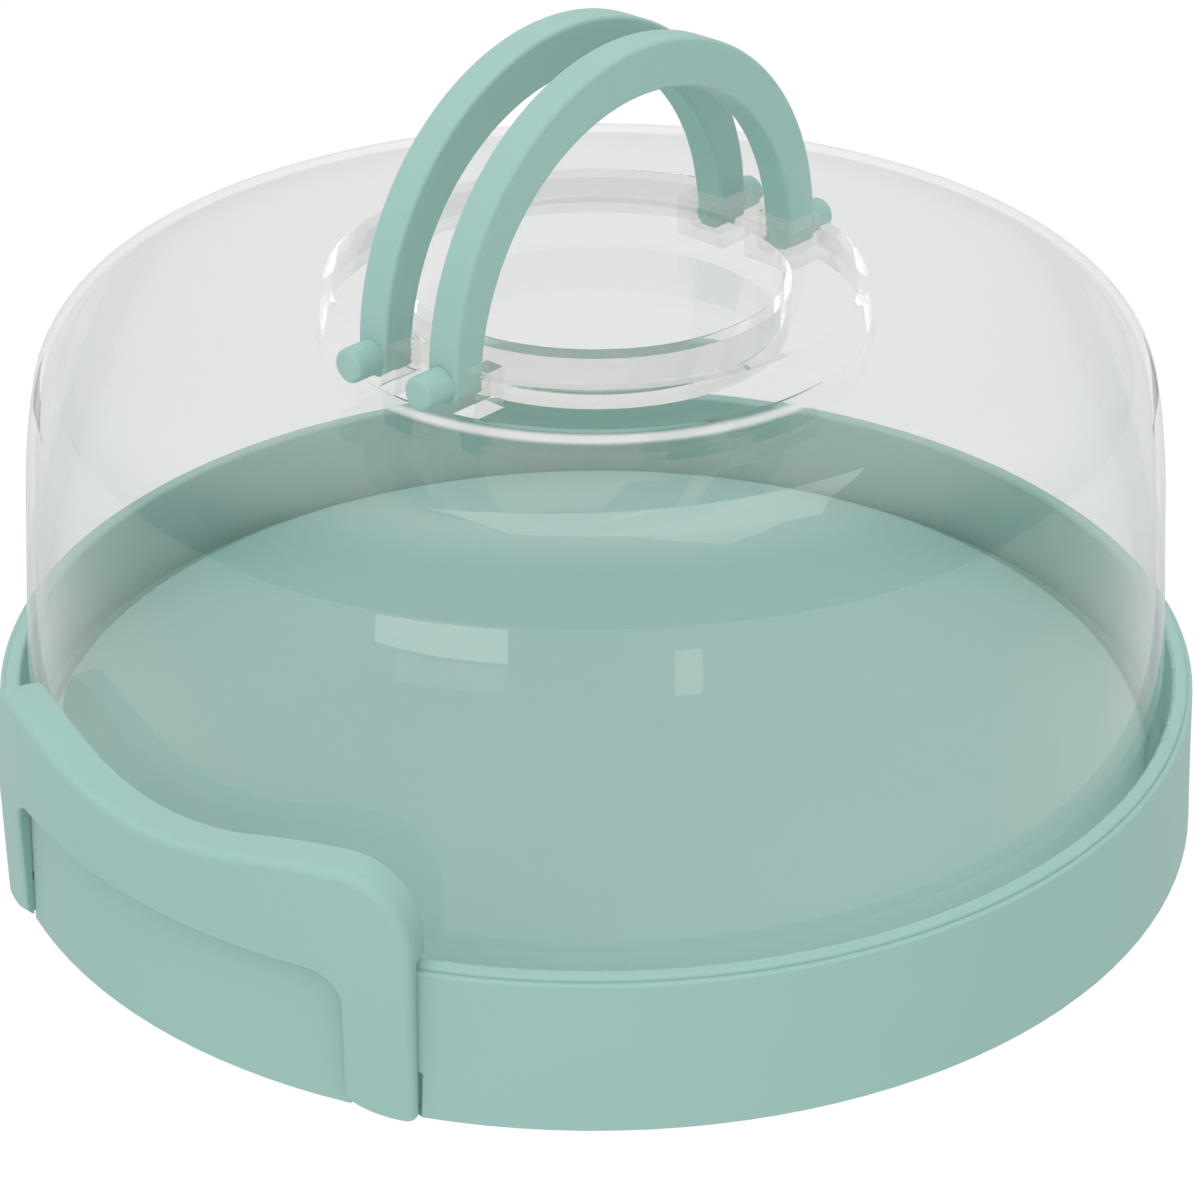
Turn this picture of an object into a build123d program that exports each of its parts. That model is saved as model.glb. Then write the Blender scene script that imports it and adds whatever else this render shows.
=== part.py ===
from build123d import *
import math
import os

# Pie keeper: a round tray, a clear lid, two carrying handles and a swing latch.
# Millimetres, +Z up. The origin is the centre of the circle that the tray rests on,
# the latch faces -Y and the handles span along Y.

# Tray wall and rim; the draft is how far the rim's outer face stands inside the foot's
tray_foot_radius = 152.0
tray_draft = 2.0
tray_rim_height = 38.5
tray_rim_width = 5.0
tray_rim_outer_round = 0.9
tray_rim_inner_round = 1.0
tray_ledge_width = 1.2
tray_ledge_drop = 1.1
tray_ledge_round = 0.7
tray_skirt_wall = 2.6

# Tray floor and the seat that the lid stands on
seat_height = 13.0
floor_height = 16.0
floor_wall = 2.4
floor_edge_round = 1.5
lid_rim_gap = 1.8
lid_floor_gap = 0.5

# Stiffening ribs under the tray
rib_thickness = 1.8
rib_depth = 6.0
radial_rib_count = 12
rib_ring_radii = (30.0, 85.0)

# Lid shell: skirt, drafted wall and a shoulder of three tangent arcs
lid_wall = 2.2
lid_skirt_lean = 0.4
lid_skirt_rise = 1.5
lid_wall_lean = 4.1
lid_shoulder_start = 92.0
lid_lower_radius = 175.0
lid_lower_sweep = 8.25
lid_corner_radius = 18.3
lid_upper_radius = 98.0
lid_upper_sweep = 7.0
lid_dish = 2.0
lid_bead = 0.4
lid_bead_height = 2.4

# Collar that stands on the lid, and the finger well inside it
collar_foot_radius = 67.4
collar_draft = 1.9
collar_height = 10.0
collar_width = 22.2
collar_round = 1.5
well_depth = 12.6
well_lean = 2.0
well_round = 1.2

# Handles; the setback is from the collar's foot to the outer face of their legs
handle_spacing = 22.5
handle_width = 9.0
handle_setback = 3.1
handle_leg_thickness = 9.0
handle_grip_thickness = 12.0
handle_edge_round = 1.1
handle_foot_drop = 4.7
handle_foot_round = 3.2
pocket_side_gap = 1.0
pocket_end_gap = 1.1
pocket_floor_gap = 0.35
pocket_corner_round = 1.2

# Handle pins
pin_head_radius = 4.15
pin_head_length = 8.0
pin_head_bevel = 1.1
pin_shank_radius = 2.3
pin_shank_bevel = 0.4
pin_reach_past_wall = 1.4
pin_running_gap = 0.05

# Latch: an upside-down U that clips over the tray's rim, with its heights taken from the rim
latch_stand_out = 2.4
latch_wall_gap = 0.3
latch_lid_gap = 0.3
latch_rim_gap = 1.3
latch_half_width = 70.5
latch_leg_width = 15.7
latch_recess_drop = 3.0
latch_recess_round = 8.0
latch_dip_rise = 17.8
latch_peak_rise = 24.0
latch_corner_round = 18.5
latch_edge_round = 2.2
latch_inner_edge_round = 1.0
latch_recess_edge_round = 0.8
latch_wall = 2.3
latch_rib_count = 3
latch_rib_thickness = 2.0

# Latch hinge; the inset is from the latch's face to the pin line, at the middle of a leg
hinge_inset = 2.4
hinge_height = 6.0
hinge_floor_gap = 0.1
hinge_knuckle_radius = 5.0
hinge_window_gap = 1.3
hinge_side_gap = 0.3
hinge_boss_radius = 3.2
hinge_boss_length = 7.0
hinge_pin_radius = 1.3
hinge_pin_depth = 7.6
hinge_running_gap = 0.05

# Sizes that follow from the ones above: tray and lid
tray_rim_radius = tray_foot_radius - tray_draft
rim_inner_radius = tray_rim_radius - tray_rim_width
ledge_height = tray_rim_height - tray_ledge_drop
ledge_inner_radius = tray_rim_radius - tray_ledge_width
lid_foot_radius = rim_inner_radius - lid_rim_gap
lid_skirt_top = tray_rim_height + lid_skirt_rise
floor_radius = lid_foot_radius - lid_wall - lid_floor_gap

# Collar and handles
collar_top_radius = collar_foot_radius - collar_draft
well_radius = collar_foot_radius - collar_width
handle_arch_radius = collar_foot_radius - handle_setback
handle_foot_reach = handle_foot_round + math.hypot(
    handle_width / 2 - handle_foot_round, handle_foot_drop - handle_foot_round
)

# Latch and its hinge
latch_outer_radius = tray_foot_radius + latch_stand_out
latch_inner_radius = lid_foot_radius + lid_bead + latch_lid_gap
latch_flange_height = tray_rim_height + latch_rim_gap
latch_recess_height = tray_rim_height - latch_recess_drop
latch_recess_half_width = latch_half_width - latch_leg_width
latch_dip_height = tray_rim_height + latch_dip_rise
latch_peak_height = tray_rim_height + latch_peak_rise
latch_flank_reach = math.sqrt(latch_outer_radius ** 2 - latch_half_width ** 2)
latch_rounded_half_width = latch_half_width + latch_edge_round * (
    1 - (latch_half_width + latch_flank_reach) / latch_outer_radius
)
hinge_middle = latch_half_width - latch_leg_width / 2
hinge_setback = math.sqrt(latch_outer_radius ** 2 - hinge_middle ** 2) - hinge_inset
hinge_foot_radius = hinge_height - hinge_floor_gap
hinge_window_radius = hinge_foot_radius + hinge_window_gap
hinge_pin_length = hinge_boss_length + hinge_side_gap + hinge_pin_depth


def turned(section):
    # Solid made by turning a section, drawn radius across and height up, about the centre
    return revolve(Plane.XZ * section, Axis.Z)


def rounded(section, corners):
    # The section with the corner nearest to each point rounded to its radius
    for point, radius in corners:
        section = fillet(section.vertices().sort_by_distance(point)[0], radius)
    return section


def span_box(x_span, y_span, z_span):
    # Box between two values on each axis
    size = [high - low for low, high in (x_span, y_span, z_span)]
    centre = [(high + low) / 2 for low, high in (x_span, y_span, z_span)]
    return Pos(*centre) * Box(*size)


def cross_cylinder(radius, x_span, y, z):
    # Cylinder along X between two x values
    low, high = x_span
    return Pos((low + high) / 2, y, z) * Rot(0, 90, 0) * Cylinder(radius, high - low)


def tray_outer(height):
    # Radius of the tray's drafted outer face at a height
    return tray_foot_radius - (tray_foot_radius - tray_rim_radius) * height / tray_rim_height


def both_sides(x_span):
    # The span itself and its mirror image across the middle plane
    low, high = x_span
    return (x_span, (-high, -low))


# Tray

def tray_shell():
    floor_under = floor_height - floor_wall
    seat_under = seat_height - floor_wall
    riser_inner = floor_radius - floor_wall
    ledge_radius = tray_outer(ledge_height)
    section = make_face(Polyline(
        (0, floor_under),
        (riser_inner, floor_under),
        (riser_inner, seat_under),
        (tray_outer(seat_under) - tray_skirt_wall, seat_under),
        (tray_foot_radius - tray_skirt_wall, 0),
        (tray_foot_radius, 0),
        (ledge_radius, ledge_height),
        (ledge_inner_radius, ledge_height),
        (ledge_inner_radius, tray_rim_height),
        (rim_inner_radius, tray_rim_height),
        (rim_inner_radius, seat_height),
        (floor_radius, seat_height),
        (floor_radius, floor_height),
        (0, floor_height),
        close=True,
    ))
    return turned(rounded(section, (
        ((ledge_radius, ledge_height), tray_ledge_round),
        ((ledge_inner_radius, tray_rim_height), tray_rim_outer_round),
        ((rim_inner_radius, tray_rim_height), tray_rim_inner_round),
        ((floor_radius, floor_height), floor_edge_round),
    )))


def tray_ribs():
    low = floor_height - floor_wall - rib_depth
    floor_middle = floor_height - floor_wall / 2
    seat_middle = seat_height - floor_wall / 2
    riser_middle = floor_radius - floor_wall / 2
    skirt_middle = tray_outer(low) - tray_skirt_wall / 2
    outline = make_face(Polyline(
        (rib_ring_radii[0], low),
        (skirt_middle, low),
        (tray_outer(seat_middle) - tray_skirt_wall / 2, seat_middle),
        (riser_middle, seat_middle),
        (riser_middle, floor_middle),
        (rib_ring_radii[0], floor_middle),
        close=True,
    ))
    rib = extrude(Plane.XZ * outline, rib_thickness / 2, both=True)
    step = 360 / radial_rib_count
    ribs = [Rot(0, 0, step * (index + 0.5)) * rib for index in range(radial_rib_count)]
    for radius in rib_ring_radii:
        ring = make_face(Polyline(
            (radius - rib_thickness / 2, low),
            (radius + rib_thickness / 2, low),
            (radius + rib_thickness / 2, floor_middle),
            (radius - rib_thickness / 2, floor_middle),
            close=True,
        ))
        ribs.append(turned(ring))
    return ribs


def tray_envelope():
    # Everything inside the tray's drafted outer face
    return turned(make_face(Polyline(
        (0, 0),
        (tray_foot_radius, 0),
        (tray_rim_radius, tray_rim_height),
        (0, tray_rim_height),
        close=True,
    )))


def hinge_bosses():
    inner_end = latch_recess_half_width - hinge_side_gap
    span = (inner_end - hinge_boss_length, inner_end)
    bosses = [
        cross_cylinder(hinge_boss_radius, side, -hinge_setback, hinge_height)
        for side in both_sides(span)
    ]
    return [boss & tray_envelope() for boss in bosses]


def hinge_windows():
    # Room in the skirt for the latch's feet to turn
    span = (latch_recess_half_width - hinge_side_gap, latch_rounded_half_width + hinge_side_gap)
    core = Cylinder(rim_inner_radius + hinge_side_gap, 4 * tray_rim_height)
    return [
        cross_cylinder(hinge_window_radius, side, -hinge_setback, hinge_height) - core
        for side in both_sides(span)
    ]


def hinge_bores():
    end = latch_recess_half_width
    span = (end - hinge_side_gap - 2 * hinge_boss_length, end)
    radius = hinge_pin_radius + hinge_running_gap
    return [cross_cylinder(radius, side, -hinge_setback, hinge_height) for side in both_sides(span)]


def base_tray():
    tray = tray_shell() + tray_ribs() + hinge_bosses()
    return tray - hinge_windows() - hinge_bores()


# Lid

def wall_direction(lean):
    angle = math.radians(lean)
    return Vector(-math.sin(angle), math.cos(angle))


def inward_normal(lean):
    angle = math.radians(lean)
    return Vector(-math.cos(angle), -math.sin(angle))


def lid_side(depth):
    # Line of the lid from its foot to its top, moved inwards square to itself by depth
    foot = Vector(lid_foot_radius - depth / math.cos(math.radians(lid_skirt_lean)), seat_height)
    skirt_rise = lid_skirt_top - seat_height
    bend = Vector(
        lid_foot_radius - skirt_rise * math.tan(math.radians(lid_skirt_lean)), lid_skirt_top
    )
    skirt_normal = inward_normal(lid_skirt_lean)
    wall_normal = inward_normal(lid_wall_lean)
    mitre = (skirt_normal + wall_normal) * (depth / (1 + skirt_normal.dot(wall_normal)))
    heading = wall_direction(lid_wall_lean)
    wall_length = (lid_shoulder_start - lid_skirt_top) / heading.Y
    shoulder = bend + heading * wall_length + wall_normal * depth
    corner_sweep = 90 - lid_wall_lean - lid_lower_sweep - lid_upper_sweep
    lower = JernArc(shoulder, heading, lid_lower_radius - depth, lid_lower_sweep)
    corner = JernArc(lower @ 1, lower % 1, lid_corner_radius - depth, corner_sweep)
    upper = JernArc(corner @ 1, corner % 1, lid_upper_radius - depth, lid_upper_sweep + lid_dish)
    return [Line(foot, bend + mitre), Line(bend + mitre, shoulder), lower, corner, upper]


def top_height(depth, radius):
    # Height of the lid's dished top at a radius, on the face moved inwards by depth
    end = lid_side(depth)[-1] @ 1
    return end.Y - (end.X - radius) * math.tan(math.radians(lid_dish))


collar_base = top_height(0, collar_foot_radius)
collar_top = collar_base + collar_height
well_floor = collar_top - well_depth
pivot_height = collar_base + handle_foot_reach + pocket_floor_gap
pocket_end = handle_arch_radius - handle_leg_thickness - pocket_end_gap
pocket_half_width = handle_width / 2 + pocket_side_gap


def lid_section():
    outer = lid_side(0)
    inner = lid_side(lid_wall)
    bead_radius = lid_foot_radius + lid_bead
    bead_top = seat_height + lid_bead_height
    foot = Polyline(
        inner[0] @ 0,
        (bead_radius, seat_height),
        (bead_radius, bead_top),
        (lid_foot_radius, bead_top + lid_bead),
    )
    skirt = Line(foot @ 1, outer[0] @ 1)
    well_foot = well_radius - (collar_top - well_floor) * math.tan(math.radians(well_lean))
    crown = Polyline(
        outer[-1] @ 1,
        (collar_foot_radius, collar_base),
        (collar_top_radius, collar_top),
        (well_radius, collar_top),
        (well_foot, well_floor),
        (0, well_floor),
        (0, well_floor - lid_wall),
        (well_foot + lid_wall, well_floor - lid_wall),
        (well_radius + lid_wall, collar_top - lid_wall),
        (collar_top_radius - lid_wall, collar_top - lid_wall),
        (collar_foot_radius - lid_wall, top_height(lid_wall, collar_foot_radius - lid_wall)),
        inner[-1] @ 1,
    )
    section = make_face([foot, skirt] + outer[1:] + [crown] + inner)
    return rounded(section, (
        ((collar_top_radius, collar_top), collar_round),
        ((well_radius, collar_top), well_round),
        ((well_foot, well_floor), well_round),
    ))


def collar_envelope():
    # Everything inside the collar's sloped outer face
    low = collar_base - lid_wall
    return turned(rounded(
        make_face(Polyline(
            (0, low),
            (collar_foot_radius, low),
            (collar_foot_radius, collar_base),
            (collar_top_radius, collar_top),
            (0, collar_top),
            close=True,
        )),
        (((collar_top_radius, collar_top), collar_round),),
    ))


def pocket_places():
    # Side and end of each handle leg: left or right handle, front or rear leg
    return [(side, end) for side in (-1, 1) for end in (-1, 1)]


def pocket_block():
    # Walls and floor of one leg pocket, before it is hollowed
    half = pocket_half_width + lid_wall
    middle = handle_spacing / 2
    return span_box(
        (middle - half, middle + half),
        (pocket_end - lid_wall, collar_foot_radius),
        (collar_base - lid_wall, collar_top),
    )


def pocket_space():
    # Room for one leg, open at the top and towards the outside
    outline = Rectangle(2 * pocket_half_width, 2 * collar_height)
    outline = fillet(outline.vertices().group_by(Axis.Y)[0], pocket_corner_round)
    length = collar_foot_radius - pocket_end
    space = extrude(Plane.XZ * outline, -length)
    return Pos(handle_spacing / 2, pocket_end, collar_base + collar_height) * space


def pocket_bore():
    centre = pocket_end - lid_wall / 2
    bore = Rot(90, 0, 0) * Cylinder(pin_shank_radius + pin_running_gap, 2 * lid_wall)
    return Pos(handle_spacing / 2, centre, pivot_height) * bore


def placed(shape, side, end):
    # A shape drawn for the right rear leg, turned or mirrored to another leg
    if end < 0:
        shape = Rot(0, 0, 180) * shape
    if side != end:
        shape = mirror(shape, about=Plane.YZ)
    return shape


def dome_lid():
    envelope = collar_envelope()
    lid = turned(lid_section())
    block = pocket_block() & envelope
    space = pocket_space() & envelope
    bore = pocket_bore()
    places = pocket_places()
    lid = lid + [placed(block, *place) for place in places]
    return lid - [placed(space, *place) for place in places] - [placed(bore, *place) for place in places]


# Handles and their pins

def handle_side_view():
    # Arch with legs, drawn along the span and up from the pivot
    outer = handle_arch_radius
    leg_inner = outer - handle_leg_thickness
    grip_inner = outer - handle_grip_thickness
    drop = (leg_inner ** 2 - grip_inner ** 2) / (2 * grip_inner)
    inner = grip_inner + drop
    foot = -handle_foot_drop
    right = Line((inner, foot), (outer, foot)) + Line((outer, foot), (outer, 0))
    left = mirror(right, about=Plane.YZ)
    arch = CenterArc((0, 0), outer, 0, 180)
    opening = CenterArc((0, -drop), inner, 0, 180)
    sides = [Line((side * inner, foot), (side * inner, -drop)) for side in (1, -1)]
    return make_face([right, left, arch, opening] + sides)


def handle_end_view():
    # Rounded feet, seen along the span
    height = handle_foot_drop + handle_arch_radius
    outline = Pos(0, (height - 2 * handle_foot_drop) / 2) * Rectangle(handle_width, height)
    outline = fillet(outline.vertices().group_by(Axis.Y)[0], handle_foot_round)
    return extrude(Plane.XZ * outline, 2 * handle_arch_radius, both=True)


def handle(side):
    arch = extrude(Plane.YZ * handle_side_view(), handle_width / 2, both=True)
    faces = arch.faces().filter_by(Axis.X)
    arch = fillet(faces.edges(), handle_edge_round)
    arch = arch & handle_end_view()
    reach = 2 * handle_arch_radius + handle_width
    arch = arch - Rot(90, 0, 0) * Cylinder(pin_shank_radius, reach)
    return Pos(side * handle_spacing / 2, 0, pivot_height) * arch


def handle_pin(side, end):
    tip = pocket_end - lid_wall - pin_reach_past_wall
    shank_length = handle_arch_radius - tip
    shank = Pos(0, 0, tip + shank_length / 2) * Cylinder(pin_shank_radius, shank_length)
    shank = chamfer(shank.edges().group_by(Axis.Z)[0], pin_shank_bevel)
    head = Pos(0, 0, handle_arch_radius + pin_head_length / 2) * Cylinder(pin_head_radius, pin_head_length)
    head = chamfer(head.edges().group_by(Axis.Z)[-1], pin_head_bevel)
    pin = Rot(-90, 0, 0) * (shank + head)
    return placed(Pos(handle_spacing / 2, 0, pivot_height) * pin, side, end)


# Latch and its pins

def latch_front_view(half_width):
    # Upside-down U with a crest that dips in the middle
    corner = half_width - latch_corner_round
    drop = latch_peak_height - latch_dip_height
    bend = 2 * math.degrees(math.atan(drop / corner))
    bend_radius = corner / (2 * math.sin(math.radians(bend)))
    shoulder = latch_peak_height - latch_corner_round
    recess = latch_recess_half_width
    recess_corner = (recess - latch_recess_round, latch_recess_height - latch_recess_round)
    flank = Line((half_width, 0), (half_width, shoulder))
    turn = CenterArc((corner, shoulder), latch_corner_round, 0, 90)
    fall = JernArc((corner, latch_peak_height), (-1, 0), bend_radius, bend)
    ease = JernArc(fall @ 1, fall % 1, bend_radius, -bend)
    foot = Line((recess, 0), (half_width, 0))
    inner_flank = Line((recess, 0), (recess, recess_corner[1]))
    inner_turn = CenterArc(recess_corner, latch_recess_round, 0, 90)
    recess_top = Line((recess_corner[0], latch_recess_height), (0, latch_recess_height))
    half = [flank, turn, fall, ease, foot, inner_flank, inner_turn, recess_top]
    return make_face(half + [mirror(edge, about=Plane.YZ) for edge in half])


def latch_block():
    # Front view that narrows towards the tray's centre, so that the flanks lie on radii
    front = latch_outer_radius
    back = latch_flank_reach * (latch_inner_radius - latch_wall) / latch_outer_radius
    views = [
        Plane.XZ.offset(reach) * latch_front_view(latch_half_width * reach / latch_flank_reach)
        for reach in (front, back)
    ]
    return loft(views, ruled=True)


def latch_section():
    # Wall that lies against the tray, and a flange that reaches over the rim
    return make_face(Polyline(
        (tray_foot_radius + latch_wall_gap, 0),
        (latch_outer_radius, 0),
        (latch_outer_radius, 2 * latch_peak_height),
        (latch_inner_radius, 2 * latch_peak_height),
        (latch_inner_radius, latch_flange_height),
        (tray_outer(latch_flange_height) + latch_wall_gap, latch_flange_height),
        close=True,
    ))


def edges_at_radius(solid, radius):
    # Edges that lie all along a cylinder about the centre
    def on_cylinder(edge):
        points = (edge @ 0, edge @ 0.5, edge @ 1)
        return all(abs(math.hypot(point.X, point.Y) - radius) < 0.01 for point in points)
    return solid.edges().filter_by(on_cylinder)


def is_round_opening(edge):
    # Whether an edge runs round the opening of the upside-down U
    middle = edge @ 0.5
    side_reach = latch_recess_half_width + latch_wall
    return abs(middle.X) < side_reach and middle.Z < latch_recess_height + latch_wall


def front_edges(band, round_opening):
    # Edges of the latch's outer face, either round its opening or along its flanks and crest
    edges = edges_at_radius(band, latch_outer_radius)
    standing = edges.filter_by(lambda edge: (edge @ 0.5).Z > hinge_height)
    return standing.filter_by(lambda edge: is_round_opening(edge) == round_opening)


def latch_band():
    band = latch_block() & turned(latch_section())
    band = fillet(front_edges(band, True), latch_recess_edge_round)
    band = fillet(front_edges(band, False), latch_edge_round)
    inner_edges = edges_at_radius(band, latch_inner_radius)
    low = latch_flange_height + latch_rim_gap
    return fillet(inner_edges.filter_by(lambda edge: (edge @ 0.5).Z > low), latch_inner_edge_round)


def latch_pockets():
    # Coring under the flange, between ribs
    outer = tray_outer(latch_flange_height) + latch_wall_gap
    low = latch_flange_height - latch_rim_gap
    hollow = turned(make_face(Polyline(
        (latch_inner_radius + latch_wall, low),
        (outer, low),
        (outer, latch_dip_height - latch_wall),
        (latch_inner_radius + latch_wall, latch_dip_height - latch_wall),
        close=True,
    )))
    half = latch_half_width - latch_corner_round - latch_wall
    pitch = 2 * half / (latch_rib_count + 1)
    pockets = []
    for index in range(latch_rib_count + 1):
        start = -half + index * pitch
        span = (start + latch_rib_thickness / 2, start + pitch - latch_rib_thickness / 2)
        pockets.append(hollow & span_box(span, (-latch_outer_radius, 0), (low, latch_peak_height)))
    return pockets


def foot_trims():
    # What lies outside the turning radius below the hinge line
    span = (latch_recess_half_width - hinge_side_gap, latch_half_width + hinge_side_gap)
    trims = []
    for side in both_sides(span):
        below = span_box(side, (-latch_outer_radius, -hinge_setback / 2), (-hinge_height, hinge_height))
        trims.append(below - cross_cylinder(hinge_foot_radius, side, -hinge_setback, hinge_height))
    return trims


def hinge_knuckles():
    span = (latch_recess_half_width, latch_rounded_half_width - latch_edge_round)
    limit = Cylinder(latch_outer_radius, 4 * hinge_window_radius)
    return [
        cross_cylinder(hinge_knuckle_radius, side, -hinge_setback, hinge_height) & limit
        for side in both_sides(span)
    ]


def hinge_pin_span():
    start = latch_recess_half_width - hinge_side_gap - hinge_boss_length
    return (start, start + hinge_pin_length)


def swing_latch():
    latch = latch_band() - foot_trims() + hinge_knuckles()
    holes = [
        cross_cylinder(hinge_pin_radius, side, -hinge_setback, hinge_height)
        for side in both_sides(hinge_pin_span())
    ]
    return latch - latch_pockets() - holes


def latch_pin(side):
    span = both_sides(hinge_pin_span())[0 if side > 0 else 1]
    return cross_cylinder(hinge_pin_radius, span, -hinge_setback, hinge_height)


parts = {
    "base_tray": base_tray(),
    "dome_lid": dome_lid(),
    "handle_left": handle(-1),
    "handle_right": handle(1),
    "handle_left_front_pin": handle_pin(-1, -1),
    "handle_left_rear_pin": handle_pin(-1, 1),
    "handle_right_front_pin": handle_pin(1, -1),
    "handle_right_rear_pin": handle_pin(1, 1),
    "swing_latch": swing_latch(),
    "latch_left_pin": latch_pin(-1),
    "latch_right_pin": latch_pin(1),
}

os.makedirs("parts", exist_ok=True)
for name, shape in parts.items():
    export_step(shape, f"parts/{name}.step")
    print(name, len(shape.solids()), round(shape.volume))
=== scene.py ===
import math

import bmesh
import bpy
from mathutils import Matrix, Vector


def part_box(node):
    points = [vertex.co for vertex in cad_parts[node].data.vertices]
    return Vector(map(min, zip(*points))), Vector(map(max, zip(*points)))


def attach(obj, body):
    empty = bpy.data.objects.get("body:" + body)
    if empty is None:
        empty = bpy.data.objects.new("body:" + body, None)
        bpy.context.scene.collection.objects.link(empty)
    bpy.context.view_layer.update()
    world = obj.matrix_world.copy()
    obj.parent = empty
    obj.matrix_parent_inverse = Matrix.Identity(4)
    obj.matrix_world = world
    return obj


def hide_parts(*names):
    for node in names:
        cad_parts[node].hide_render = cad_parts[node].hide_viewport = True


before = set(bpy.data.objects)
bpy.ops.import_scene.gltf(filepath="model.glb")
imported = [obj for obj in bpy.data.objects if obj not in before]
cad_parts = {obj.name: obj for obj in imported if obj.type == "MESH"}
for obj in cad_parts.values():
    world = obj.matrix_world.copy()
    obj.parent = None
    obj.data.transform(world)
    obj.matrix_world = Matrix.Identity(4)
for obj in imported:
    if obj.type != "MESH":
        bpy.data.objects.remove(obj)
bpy.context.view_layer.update()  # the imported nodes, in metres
print("frame loaded with", len(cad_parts), "pieces")

millimetresInMetre = 1000


# Small helpers

def linear(hexColour):
    # sRGB hex to the linear colour that shaders take
    parts = [int(hexColour[place:place + 2], 16) / 255 for place in (1, 3, 5)]
    curve = [part / 12.92 if part <= 0.04045 else ((part + 0.055) / 1.055) ** 2.4 for part in parts]
    return (*curve, 1.0)


def textureScale(size):
    # Scale of a noise texture whose features are about this many millimetres across
    return millimetresInMetre / size


def addNode(tree, kind, settings=None, links=None):
    # Adds a shader node, sets its properties or sockets, and links its inputs
    node = tree.nodes.new(kind)
    for key, value in (settings or {}).items():
        if isinstance(key, int) or key in node.inputs:
            node.inputs[key].default_value = value
        else:
            setattr(node, key, value)
    for key, source in (links or {}).items():
        tree.links.new(source, node.inputs[key])
    return node


def emptyMaterial(name):
    material = bpy.data.materials.new(name)
    material.use_nodes = True
    material.node_tree.nodes.clear()
    return material


def dress(node, material):
    # Puts the material on a carried-over CAD piece
    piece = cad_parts[node]
    piece.data.materials.clear()
    piece.data.materials.append(material)


def addObject(name, data):
    thing = bpy.data.objects.new(name, data)
    bpy.context.scene.collection.objects.link(thing)
    return thing


# Moulded polypropylene: tray, latch, handles and pins

mouldedLook = {
    "colour": "#90B5AE",
    "thinColour": "#95BAB3",      # where the pigment lies a little thinner
    "roughness": 0.38,
    "dullRoughness": 0.48,
    "ior": 1.49,
    # The mould's real spark-eroded grain is about 0.1 mm across, drawn coarser so that it shows
    "grain": 0.5,                 # mm across
    "grainDepth": 0.004,          # mm
    "grainDetail": 2.0,
    "grainRoughness": 0.6,
    "grainStrength": 0.5,
    # Broad soft patches that the melt leaves as it flows
    "flowPatch": 70.0,            # mm across
    "flowDetail": 3.0,
    "flowRoughness": 0.5,
}


def mouldedPolypropylene(name, look):
    # Opaque satin plastic: broad soft highlights, broken up a little by the mould's fine grain
    material = emptyMaterial(name)
    tree = material.node_tree
    place = addNode(tree, "ShaderNodeTexCoord").outputs["Object"]
    flow = addNode(tree, "ShaderNodeTexNoise", {
        "Scale": textureScale(look["flowPatch"]),
        "Detail": look["flowDetail"],
        "Roughness": look["flowRoughness"],
    }, {"Vector": place}).outputs["Fac"]
    grain = addNode(tree, "ShaderNodeTexNoise", {
        "Scale": textureScale(look["grain"]),
        "Detail": look["grainDetail"],
        "Roughness": look["grainRoughness"],
    }, {"Vector": place}).outputs["Fac"]
    tint = addNode(tree, "ShaderNodeMix", {
        "data_type": "RGBA", 6: linear(look["colour"]), 7: linear(look["thinColour"]),
    }, {0: flow}).outputs[2]
    dullness = addNode(tree, "ShaderNodeMapRange", {
        "To Min": look["roughness"], "To Max": look["dullRoughness"],
    }, {"Value": flow}).outputs["Result"]
    relief = addNode(tree, "ShaderNodeBump", {
        "Strength": look["grainStrength"], "Distance": look["grainDepth"] / millimetresInMetre,
    }, {"Height": grain}).outputs["Normal"]
    plastic = addNode(tree, "ShaderNodeBsdfPrincipled", {
        "IOR": look["ior"],
    }, {"Base Color": tint, "Roughness": dullness, "Normal": relief}).outputs["BSDF"]
    addNode(tree, "ShaderNodeOutputMaterial", links={"Surface": plastic})
    return material


# Clear styrene-acrylonitrile: the lid

clearLook = {
    "colour": "#F5F5F4",
    "roughness": 0.015,
    "ior": 1.0,                   # of the dome: so thin a wall hardly shifts what lies behind it
    "collarIor": 1.03,            # of the collar, whose corners draw fine bright and dark lines
    "collarReach": (0.0695, 0.0715),  # metres from the lid's middle, where the one fades into the other
    "coat": 1.0,
    "coatIor": 1.5,               # near the real plastic's 1.57, for the reflections
    "coatRelief": 0.3,
    # Slow waves left by uneven cooling
    "waviness": 45.0,             # mm across
    "waveDepth": 0.02,            # mm
    "waveDetail": 1.0,
    "waveRoughness": 0.4,
    "passedLight": "#FFFFFF",     # what a shadow or soft ray keeps after one face
}


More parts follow.
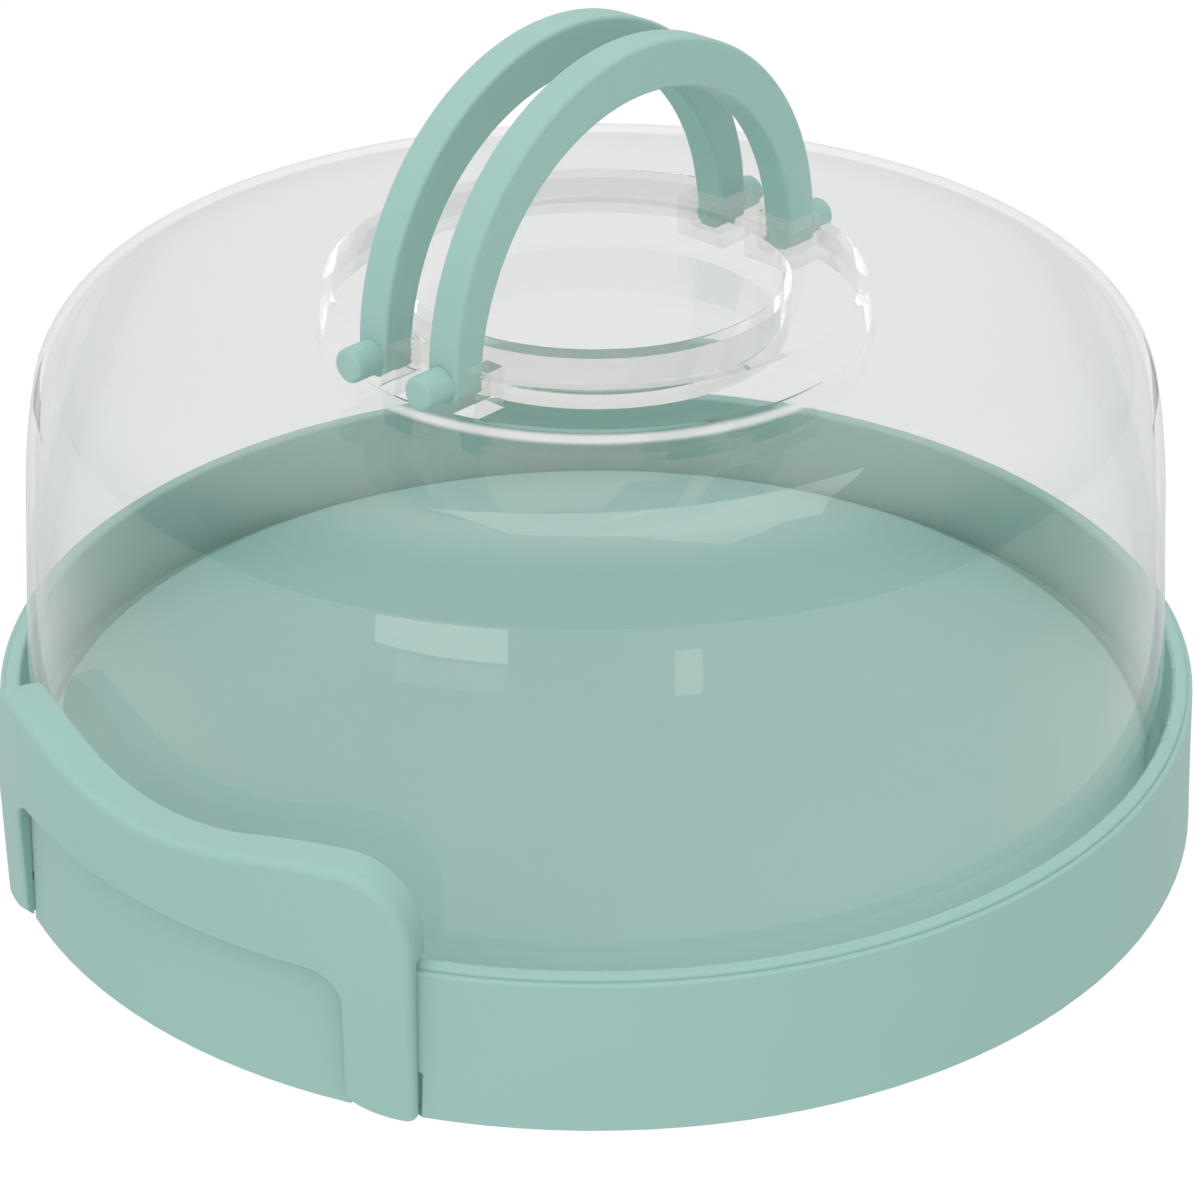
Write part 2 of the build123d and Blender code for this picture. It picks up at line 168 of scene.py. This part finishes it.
def clearStyreneAcrylonitrile(name, look):
    # Transparent, glossy and faintly grey, from a polished mould: sharp reflections with slow waves
    material = emptyMaterial(name)
    tree = material.node_tree
    place = addNode(tree, "ShaderNodeTexCoord").outputs["Object"]
    waves = addNode(tree, "ShaderNodeTexNoise", {
        "Scale": textureScale(look["waviness"]),
        "Detail": look["waveDetail"],
        "Roughness": look["waveRoughness"],
    }, {"Vector": place}).outputs["Fac"]
    relief = addNode(tree, "ShaderNodeBump", {
        "Strength": look["coatRelief"], "Distance": look["waveDepth"] / millimetresInMetre,
    }, {"Height": waves}).outputs["Normal"]
    dome, collar = (addNode(tree, "ShaderNodeBsdfPrincipled", {
        "Base Color": linear(look["colour"]),
        "Roughness": look["roughness"],
        "IOR": look[bending],
        "Transmission Weight": 1.0,
        "Coat Weight": look["coat"],
        "Coat IOR": look["coatIor"],
        "Coat Roughness": look["roughness"],
    }, {"Coat Normal": relief}).outputs["BSDF"] for bending in ("ior", "collarIor"))

    # The collar and the dome part at a circle about the lid's upright axis
    flatPlace = addNode(tree, "ShaderNodeVectorMath", {"operation": "MULTIPLY", 1: (1, 1, 0)}, {0: place})
    reach = addNode(tree, "ShaderNodeVectorMath", {"operation": "LENGTH"}, {0: flatPlace.outputs["Vector"]})
    isDome = addNode(tree, "ShaderNodeMapRange", {
        "From Min": look["collarReach"][0], "From Max": look["collarReach"][1],
    }, {"Value": reach.outputs["Value"]}).outputs["Result"]
    lid = addNode(tree, "ShaderNodeMixShader", links={0: isDome, 1: collar, 2: dome}).outputs[0]

    # Lamps and soft bounced light pass straight through, so what is inside stays lit
    through = addNode(tree, "ShaderNodeBsdfTransparent", {"Color": linear(look["passedLight"])}).outputs[0]
    rays = addNode(tree, "ShaderNodeLightPath").outputs
    for kind in ("Is Shadow Ray", "Is Diffuse Ray"):
        lid = addNode(tree, "ShaderNodeMixShader", links={0: rays[kind], 1: lid, 2: through}).outputs[0]
    addNode(tree, "ShaderNodeOutputMaterial", links={"Surface": lid})
    return material


teal = mouldedPolypropylene("polypropylene_moulded_satin", mouldedLook)
clear = clearStyreneAcrylonitrile("styrene_acrylonitrile_moulded_clear", clearLook)
mirroredPieces = ("dome_lid", "base_tray")  # the photograph shows neither handles nor latch in the lid
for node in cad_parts:
    dress(node, clear if node == "dome_lid" else teal)
    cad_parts[node].visible_glossy = node in mirroredPieces
print("materials made")


# Handle pins: the photograph shows no shank inside the clear collar, so these stop at the handle's leg

pinLook = {
    "headLength": 0.0080,         # metres, as the other sizes
    "headRadius": 0.00415,
    "headRound": 0.0011,
    "shankRadius": 0.0023,
    "shankStart": 0.0552,         # from the lid's middle, 0.1 mm before the leg's inner face
    "roundSteps": 6,
    "sides": 64,
    "sharpAngle": 40,             # degrees
}


def pinOutline(outerEnd, look):
    # Distance from the lid's middle and radius, from the shank's hidden end to the middle of the head's face
    headStart = outerEnd - look["headLength"]
    roundCentre = (outerEnd - look["headRound"], look["headRadius"] - look["headRound"])
    outline = [(look["shankStart"], 0.0), (look["shankStart"], look["shankRadius"]),
               (headStart, look["shankRadius"]), (headStart, look["headRadius"])]
    for step in range(look["roundSteps"] + 1):
        turn = math.radians(90) * step / look["roundSteps"]
        outline.append((roundCentre[0] + look["headRound"] * math.sin(turn),
                        roundCentre[1] + look["headRound"] * math.cos(turn)))
    return outline + [(outerEnd, 0.0)]


def makePin(node, material, look):
    low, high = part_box(node)
    outward = 1 if low[1] + high[1] > 0 else -1
    middleX, middleZ = (low[0] + high[0]) / 2, (low[2] + high[2]) / 2
    shape = bmesh.new()
    rings = []
    for along, radius in pinOutline(max(abs(low[1]), abs(high[1])), look):
        turns = [math.tau * side / look["sides"] for side in range(look["sides"])] if radius else [0.0]
        rings.append([shape.verts.new((
            middleX + radius * math.cos(turn), outward * along, middleZ + radius * math.sin(turn),
        )) for turn in turns])
    # The first and last rings are single points, where the four corners of a face fall to three
    for ring, nextRing in zip(rings, rings[1:]):
        for side in range(look["sides"]):
            after = (side + 1) % look["sides"]
            corners = [ring[side % len(ring)], ring[after % len(ring)],
                       nextRing[after % len(nextRing)], nextRing[side % len(nextRing)]]
            shape.faces.new(list(dict.fromkeys(corners)))
    bmesh.ops.recalc_face_normals(shape, faces=shape.faces)
    mesh = bpy.data.meshes.new(node + "_cap")
    shape.to_mesh(mesh)
    shape.free()
    mesh.materials.append(material)
    mesh.shade_smooth()
    mesh.set_sharp_from_angle(angle=math.radians(look["sharpAngle"]))
    pin = addObject(node + "_cap", mesh)
    pin.visible_glossy = False
    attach(pin, "left_handle" if "left" in node else "right_handle")
    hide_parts(node)


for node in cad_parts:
    if node.startswith("handle") and node.endswith("pin"):
        makePin(node, teal, pinLook)
print("handle pins made")


# Camera: the photograph's viewpoint, found from the circles of the tray and the collar

cameraLook = {
    "azimuth": 42.3,              # degrees, from the latch side towards +X
    "elevation": 28.33,           # degrees, as pan and roll
    "pan": 0.27,
    "roll": -0.17,
    "distance": 0.850,            # metres
    "aimHeight": 0.060,           # metres
    "nearAndFar": (0.05, 20.0),   # metres
    "sensorWidth": 36.0,          # mm
    "focalPixels": 3380.0,
    "imagePixels": 1200.0,
    "axisPixel": (612.3, 563.8),  # where the optical axis meets the image
}
viewTurn = Matrix.Rotation(math.radians(cameraLook["azimuth"]), 3, "Z")  # from the latch side to the camera's


def makeCamera(look):
    tilt, pan, roll = (math.radians(look[key]) for key in ("elevation", "pan", "roll"))
    ahead = Vector((0, math.cos(tilt), -math.sin(tilt)))
    side = Vector((1, 0, 0))
    above = Vector((0, math.sin(tilt), math.cos(tilt)))
    forward = ahead * math.cos(pan) + side * math.sin(pan)
    right = side * math.cos(pan) - ahead * math.sin(pan)
    across = right * math.cos(roll) + above * math.sin(roll)
    upright = above * math.cos(roll) - right * math.sin(roll)
    axes = viewTurn @ Matrix((across, upright, -forward)).transposed()
    eye = viewTurn @ (Vector((0, 0, look["aimHeight"])) - ahead * look["distance"])
    data = bpy.data.cameras.new("photo_camera")
    data.sensor_width = look["sensorWidth"]
    data.lens = look["focalPixels"] * look["sensorWidth"] / look["imagePixels"]
    middle = look["imagePixels"] / 2
    data.shift_x = (middle - look["axisPixel"][0]) / look["imagePixels"]
    data.shift_y = (look["axisPixel"][1] - middle) / look["imagePixels"]
    data.clip_start, data.clip_end = look["nearAndFar"]
    camera = addObject("photo_camera", data)
    camera.matrix_world = Matrix.Translation(eye) @ axes.to_4x4()
    bpy.context.scene.camera = camera


makeCamera(cameraLook)
print("camera placed")


# Floor, world and lights. Places here are in metres, as the camera sees them: +X to its right, +Y away

stageLook = {
    # The floor is lit from below, as a light table is, so it holds hardly any shadow
    "floorColour": "#3A3A3A",
    "floorReach": 6.0,
    "floorGlow": 0.97,
    "glowColour": "#FFFFFF",
    # Painted shade where the tray stands: the glow drops there and takes a teal tint, a painted bounce of
    # light off the tray's underside
    "paintedShadeReach": (0.147, 0.151),  # from the tray's centre, where the one fades into the other
    "paintedShadeGlow": 0.3,
    "paintedBounceColour": "#9CC7BE",
    "worldColour": "#FFFFFF",
    "worldStrength": 0.8,
    # What gloss mirrors: a dim room on the camera's side and a bright backdrop behind the object
    "mirroredNear": 0.1,
    "mirroredFar": 0.72,
    "mirroredTurn": (-0.35, 0.75),  # where the one fades into the other: -1 is nearest the camera, 1 farthest
    "lampColour": "#FFFFFF",
    # Name, place, width, height and watts
    "lamps": (
        ("front_key", (-0.5, -1.7, 1.3), 3.0, 2.4, 18.5),
        ("overhead", (0.0, 0.0, 2.2), 1.8, 1.8, 14.0),
    ),
    # Cards that only the gloss mirrors: name, corners and radiance
    "cards": (
        ("window_low", ((-0.159, -0.621, 0.016), (-0.385, -0.513, 0.016),
                        (-0.385, -0.513, 0.060), (-0.159, -0.621, 0.060)), 2.6),
        ("window_faint", ((-0.068, -0.297, 0.057), (-0.142, -0.260, 0.057),
                          (-0.142, -0.260, 0.076), (-0.068, -0.297, 0.076)), 0.7),
        ("window_narrow", ((0.069, -0.344, 0.043), (0.093, -0.337, 0.043),
                           (0.093, -0.337, 0.079), (0.069, -0.344, 0.079)), 1.7),
        ("flag_high", ((-0.147, 1.22, 1.012), (0.187, 1.333, 0.852), (0.283, 0.406, 1.618)), 1.7),
        ("dark_left", ((-0.260, 0.245, 0.002), (-0.310, 0.195, 0.002),
                       (-0.310, 0.195, 0.061), (-0.260, 0.245, 0.061)), 0.0),
        ("dark_right", ((0.235, 0.250, 0.002), (0.285, 0.200, 0.002),
                        (0.285, 0.200, 0.055), (0.235, 0.250, 0.055)), 0.0),
    ),
}


def lightTable(name, look):
    # Frosted white acrylic over lamps: even and pale, with only the softest shadow, save a painted shade with
    # a teal painted bounce under the tray
    material = emptyMaterial(name)
    tree = material.node_tree
    place = addNode(tree, "ShaderNodeTexCoord").outputs["Object"]
    reach = addNode(tree, "ShaderNodeVectorMath", {"operation": "LENGTH"}, {0: place}).outputs["Value"]
    # Painted shade under the tray: the glow drops and turns teal there, a painted bounce from the tray's
    # underside
    fade = {"From Min": look["paintedShadeReach"][0], "From Max": look["paintedShadeReach"][1]}
    isOutside = addNode(tree, "ShaderNodeMapRange", fade, {"Value": reach}).outputs["Result"]
    glow = addNode(tree, "ShaderNodeMapRange", {
        **fade, "To Min": look["paintedShadeGlow"], "To Max": look["floorGlow"],
    }, {"Value": reach}).outputs["Result"]
    tint = addNode(tree, "ShaderNodeMix", {
        "data_type": "RGBA", 6: linear(look["paintedBounceColour"]), 7: linear(look["glowColour"]),
    }, {0: isOutside}).outputs[2]
    paint = addNode(tree, "ShaderNodeBsdfPrincipled", {
        "Base Color": linear(look["floorColour"]), "Roughness": 1.0, "Specular IOR Level": 0.0,
    }, {"Emission Color": tint, "Emission Strength": glow}).outputs["BSDF"]
    addNode(tree, "ShaderNodeOutputMaterial", links={"Surface": paint})
    return material


def litCard(name, radiance):
    material = emptyMaterial(name)
    glow = addNode(material.node_tree, "ShaderNodeEmission", {"Strength": radiance}).outputs[0]
    addNode(material.node_tree, "ShaderNodeOutputMaterial", links={"Surface": glow})
    return material


def addSheet(name, corners, material):
    # One flat face of the stage
    mesh = bpy.data.meshes.new(name)
    mesh.from_pydata(corners, [], [tuple(range(len(corners)))])
    mesh.materials.append(material)
    sheet = addObject(name, mesh)
    return sheet


def makeFloor(look):
    reach = look["floorReach"]
    corners = [(x * reach, y * reach, 0) for x, y in ((-1, -1), (1, -1), (1, 1), (-1, 1))]
    floor = addSheet("studio_floor", corners, lightTable("acrylic_frosted_lit_white", look))
    floor.visible_glossy = False


def makeCard(name, corners, radiance):
    card = addSheet(name, [viewTurn @ Vector(corner) for corner in corners], litCard(name + "_lit", radiance))
    card.visible_camera = card.visible_diffuse = card.visible_transmission = card.visible_shadow = False


def makeWorld(look):
    # An even white room for the light, and the uneven one for the gloss
    world = bpy.data.worlds.new("studio")
    world.use_nodes = True
    tree = world.node_tree
    tree.nodes.clear()
    direction = addNode(tree, "ShaderNodeTexCoord").outputs["Generated"]
    awayness = addNode(tree, "ShaderNodeVectorMath", {
        "operation": "DOT_PRODUCT", 1: viewTurn @ Vector((0, 1, 0)),
    }, {0: direction}).outputs["Value"]
    mirrored = addNode(tree, "ShaderNodeMapRange", {
        "interpolation_type": "SMOOTHSTEP",
        "From Min": look["mirroredTurn"][0], "From Max": look["mirroredTurn"][1],
        "To Min": look["mirroredNear"], "To Max": look["mirroredFar"],
    }, {"Value": awayness}).outputs["Result"]
    colour = {"Color": linear(look["worldColour"])}
    even = addNode(tree, "ShaderNodeBackground", {**colour, "Strength": look["worldStrength"]}).outputs[0]
    uneven = addNode(tree, "ShaderNodeBackground", colour, {"Strength": mirrored}).outputs[0]
    isGlossy = addNode(tree, "ShaderNodeLightPath").outputs["Is Glossy Ray"]
    room = addNode(tree, "ShaderNodeMixShader", links={0: isGlossy, 1: even, 2: uneven}).outputs[0]
    addNode(tree, "ShaderNodeOutputWorld", links={"Surface": room})
    bpy.context.scene.world = world


def makeLamp(name, place, width, height, watts, colour):
    # A soft box aimed at the object, which no ray but light itself sees
    data = bpy.data.lights.new(name, "AREA")
    data.shape = "RECTANGLE"
    data.size, data.size_y = width, height
    data.energy = watts
    data.color = linear(colour)[:3]
    lamp = addObject(name, data)
    spot = viewTurn @ Vector(place)
    aim = Vector((0, 0, cameraLook["aimHeight"])) - spot
    lamp.matrix_world = Matrix.Translation(spot) @ aim.to_track_quat("-Z", "Y").to_matrix().to_4x4()
    lamp.visible_camera = lamp.visible_transmission = lamp.visible_glossy = False


makeFloor(stageLook)
makeWorld(stageLook)
for lamp in stageLook["lamps"]:
    makeLamp(*lamp, stageLook["lampColour"])
for card in stageLook["cards"]:
    makeCard(*card)
bpy.context.scene.view_settings.view_transform = "Standard"
print("floor, world and lights made")
